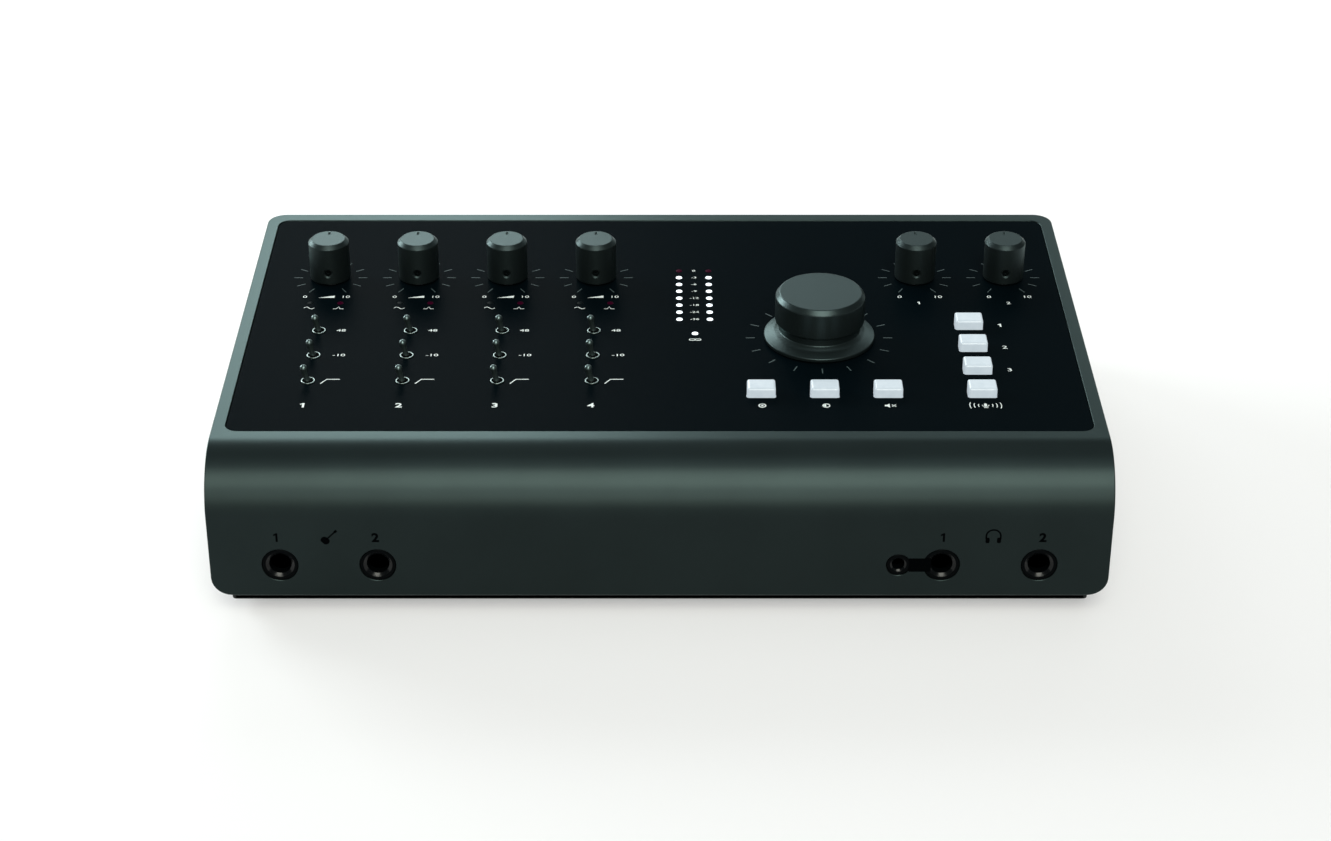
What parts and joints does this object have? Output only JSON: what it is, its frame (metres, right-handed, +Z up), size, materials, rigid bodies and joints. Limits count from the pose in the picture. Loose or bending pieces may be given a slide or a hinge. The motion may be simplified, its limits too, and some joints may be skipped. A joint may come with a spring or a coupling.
{
  "type": "usb audio interface",
  "caption": "Desktop audio interface: wedge-nosed metal shell with gain knobs, toggles, lamp meter, large dial and push buttons on top, sockets front and back",
  "frame": {"origin": "on the surface that it stands on, under the middle of the shell", "axes": "+X to the right as the user faces it, +Y to the back, +Z up"},
  "size_m": [0.268, 0.1694, 0.0683],
  "materials": {
    "shell_metal": "satin gunmetal grey",
    "fascia_black": "matt black",
    "chassis_black": "fine textured black powder coat",
    "foot_rubber": "matt black rubber",
    "screw_steel": "blackened steel",
    "board_green": "green solder mask",
    "standoff_brass": "plain brass",
    "connector_black": "black moulded plastic",
    "housing_grey": "grey moulded plastic",
    "collar_chrome": "bright plated",
    "lamp_white": "clear lens over a white lamp",
    "port_steel": "drawn steel",
    "knob_metal": "dark anodised, fine turned",
    "shaft_steel": "ground steel",
    "lever_metal": "dark nickel",
    "button_white": "translucent white silicone"
  },
  "bodies": {
    "case": {"wrap_shell": "shell_metal", "top_fascia": "fascia_black", "side_panel_left": "chassis_black", "side_panel_right": "chassis_black", "base_tray": "chassis_black", "rear_panel": "chassis_black", "rubber_feet": "foot_rubber", "case_screws": "screw_steel", "main_board": "board_green", "board_standoffs": "standoff_brass", "control_board": "board_green", "board_link": "connector_black", "pot_housings": "housing_grey", "encoder_housing": "housing_grey", "toggle_housings": "housing_grey", "toggle_bushes": "collar_chrome", "button_switches": "housing_grey", "indicator_leds": "lamp_white", "front_jacks": "connector_black", "headphone_mini_jack": "connector_black", "line_out_jacks": "connector_black", "combo_inputs": "connector_black", "optical_ports": "connector_black", "usb_c_port": "port_steel", "power_inlet": "connector_black", "power_switch_housing": "connector_black"},
    "gain_1": {"gain_knob_1": "knob_metal", "gain_shaft_1": "shaft_steel"},
    "gain_2": {"gain_knob_2": "knob_metal", "gain_shaft_2": "shaft_steel"},
    "gain_3": {"gain_knob_3": "knob_metal", "gain_shaft_3": "shaft_steel"},
    "gain_4": {"gain_knob_4": "knob_metal", "gain_shaft_4": "shaft_steel"},
    "headphone_1": {"headphone_knob_1": "knob_metal", "headphone_shaft_1": "shaft_steel"},
    "headphone_2": {"headphone_knob_2": "knob_metal", "headphone_shaft_2": "shaft_steel"},
    "dial": {"volume_knob": "knob_metal", "encoder_shaft": "shaft_steel"},
    "toggle_1_low": {"toggle_1_low": "lever_metal"},
    "toggle_1_mid": {"toggle_1_mid": "lever_metal"},
    "toggle_1_top": {"toggle_1_top": "lever_metal"},
    "toggle_2_low": {"toggle_2_low": "lever_metal"},
    "toggle_2_mid": {"toggle_2_mid": "lever_metal"},
    "toggle_2_top": {"toggle_2_top": "lever_metal"},
    "toggle_3_low": {"toggle_3_low": "lever_metal"},
    "toggle_3_mid": {"toggle_3_mid": "lever_metal"},
    "toggle_3_top": {"toggle_3_top": "lever_metal"},
    "toggle_4_low": {"toggle_4_low": "lever_metal"},
    "toggle_4_mid": {"toggle_4_mid": "lever_metal"},
    "toggle_4_top": {"toggle_4_top": "lever_metal"},
    "row_button_1": {"row_button_1": "button_white"},
    "row_button_2": {"row_button_2": "button_white"},
    "row_button_3": {"row_button_3": "button_white"},
    "column_button_1": {"column_button_1": "button_white"},
    "column_button_2": {"column_button_2": "button_white"},
    "column_button_3": {"column_button_3": "button_white"},
    "column_button_4": {"column_button_4": "button_white"},
    "power_button": {"power_button": "knob_metal"}
  },
  "joints": [
    {"name": "gain_1_turn", "type": "hinge", "parent": "case", "child": "gain_1", "pos_m": [-0.1083, 0.03735, 0.0518], "axis": [0, 0, 1], "range_deg": [-150, 150]},
    {"name": "gain_2_turn", "type": "hinge", "parent": "case", "child": "gain_2", "pos_m": [-0.07917, 0.03735, 0.0518], "axis": [0, 0, 1], "range_deg": [-150, 150]},
    {"name": "gain_3_turn", "type": "hinge", "parent": "case", "child": "gain_3", "pos_m": [-0.05004, 0.03735, 0.0518], "axis": [0, 0, 1], "range_deg": [-150, 150]},
    {"name": "gain_4_turn", "type": "hinge", "parent": "case", "child": "gain_4", "pos_m": [-0.02091, 0.03735, 0.0518], "axis": [0, 0, 1], "range_deg": [-150, 150]},
    {"name": "headphone_1_turn", "type": "hinge", "parent": "case", "child": "headphone_1", "pos_m": [0.08387, 0.03735, 0.0518], "axis": [0, 0, 1], "range_deg": [-150, 150]},
    {"name": "headphone_2_turn", "type": "hinge", "parent": "case", "child": "headphone_2", "pos_m": [0.11292, 0.03735, 0.0518], "axis": [0, 0, 1], "range_deg": [-150, 150]},
    {"name": "dial_turn", "type": "hinge", "parent": "case", "child": "dial", "pos_m": [0.0504, -0.00435, 0.0518], "axis": [0, 0, 1], "continuous": true},
    {"name": "toggle_1_low_throw", "type": "hinge", "parent": "case", "child": "toggle_1_low", "pos_m": [-0.1083, -0.03235, 0.051], "axis": [0, 1, 0], "range_deg": [0, 22]},
    {"name": "toggle_1_mid_throw", "type": "hinge", "parent": "case", "child": "toggle_1_mid", "pos_m": [-0.1083, -0.01602, 0.051], "axis": [0, 1, 0], "range_deg": [0, 22]},
    {"name": "toggle_1_top_throw", "type": "hinge", "parent": "case", "child": "toggle_1_top", "pos_m": [-0.1083, 0.00031, 0.051], "axis": [0, 1, 0], "range_deg": [0, 22]},
    {"name": "toggle_2_low_throw", "type": "hinge", "parent": "case", "child": "toggle_2_low", "pos_m": [-0.07917, -0.03235, 0.051], "axis": [0, 1, 0], "range_deg": [0, 22]},
    {"name": "toggle_2_mid_throw", "type": "hinge", "parent": "case", "child": "toggle_2_mid", "pos_m": [-0.07917, -0.01602, 0.051], "axis": [0, 1, 0], "range_deg": [0, 22]},
    {"name": "toggle_2_top_throw", "type": "hinge", "parent": "case", "child": "toggle_2_top", "pos_m": [-0.07917, 0.00031, 0.051], "axis": [0, 1, 0], "range_deg": [0, 22]},
    {"name": "toggle_3_low_throw", "type": "hinge", "parent": "case", "child": "toggle_3_low", "pos_m": [-0.05004, -0.03235, 0.051], "axis": [0, 1, 0], "range_deg": [0, 22]},
    {"name": "toggle_3_mid_throw", "type": "hinge", "parent": "case", "child": "toggle_3_mid", "pos_m": [-0.05004, -0.01602, 0.051], "axis": [0, 1, 0], "range_deg": [0, 22]},
    {"name": "toggle_3_top_throw", "type": "hinge", "parent": "case", "child": "toggle_3_top", "pos_m": [-0.05004, 0.00031, 0.051], "axis": [0, 1, 0], "range_deg": [0, 22]},
    {"name": "toggle_4_low_throw", "type": "hinge", "parent": "case", "child": "toggle_4_low", "pos_m": [-0.02091, -0.03235, 0.051], "axis": [0, 1, 0], "range_deg": [0, 22]},
    {"name": "toggle_4_mid_throw", "type": "hinge", "parent": "case", "child": "toggle_4_mid", "pos_m": [-0.02091, -0.01602, 0.051], "axis": [0, 1, 0], "range_deg": [0, 22]},
    {"name": "toggle_4_top_throw", "type": "hinge", "parent": "case", "child": "toggle_4_top", "pos_m": [-0.02091, 0.00031, 0.051], "axis": [0, 1, 0], "range_deg": [0, 22]},
    {"name": "row_button_1_press", "type": "slide", "parent": "case", "child": "row_button_1", "axis": [0, 0, -1], "range_m": [0, 0.0008], "stiffness_N_per_m": 400, "springref_m": -0.0002},
    {"name": "row_button_2_press", "type": "slide", "parent": "case", "child": "row_button_2", "axis": [0, 0, -1], "range_m": [0, 0.0008], "stiffness_N_per_m": 400, "springref_m": -0.0002},
    {"name": "row_button_3_press", "type": "slide", "parent": "case", "child": "row_button_3", "axis": [0, 0, -1], "range_m": [0, 0.0008], "stiffness_N_per_m": 400, "springref_m": -0.0002},
    {"name": "column_button_1_press", "type": "slide", "parent": "case", "child": "column_button_1", "axis": [0, 0, -1], "range_m": [0, 0.0008], "stiffness_N_per_m": 400, "springref_m": -0.0002},
    {"name": "column_button_2_press", "type": "slide", "parent": "case", "child": "column_button_2", "axis": [0, 0, -1], "range_m": [0, 0.0008], "stiffness_N_per_m": 400, "springref_m": -0.0002},
    {"name": "column_button_3_press", "type": "slide", "parent": "case", "child": "column_button_3", "axis": [0, 0, -1], "range_m": [0, 0.0008], "stiffness_N_per_m": 400, "springref_m": -0.0002},
    {"name": "column_button_4_press", "type": "slide", "parent": "case", "child": "column_button_4", "axis": [0, 0, -1], "range_m": [0, 0.0008], "stiffness_N_per_m": 400, "springref_m": -0.0002},
    {"name": "power_button_press", "type": "slide", "parent": "case", "child": "power_button", "axis": [0, -1, 0], "range_m": [0, 0.002], "stiffness_N_per_m": 400, "springref_m": -0.0002}
  ]
}
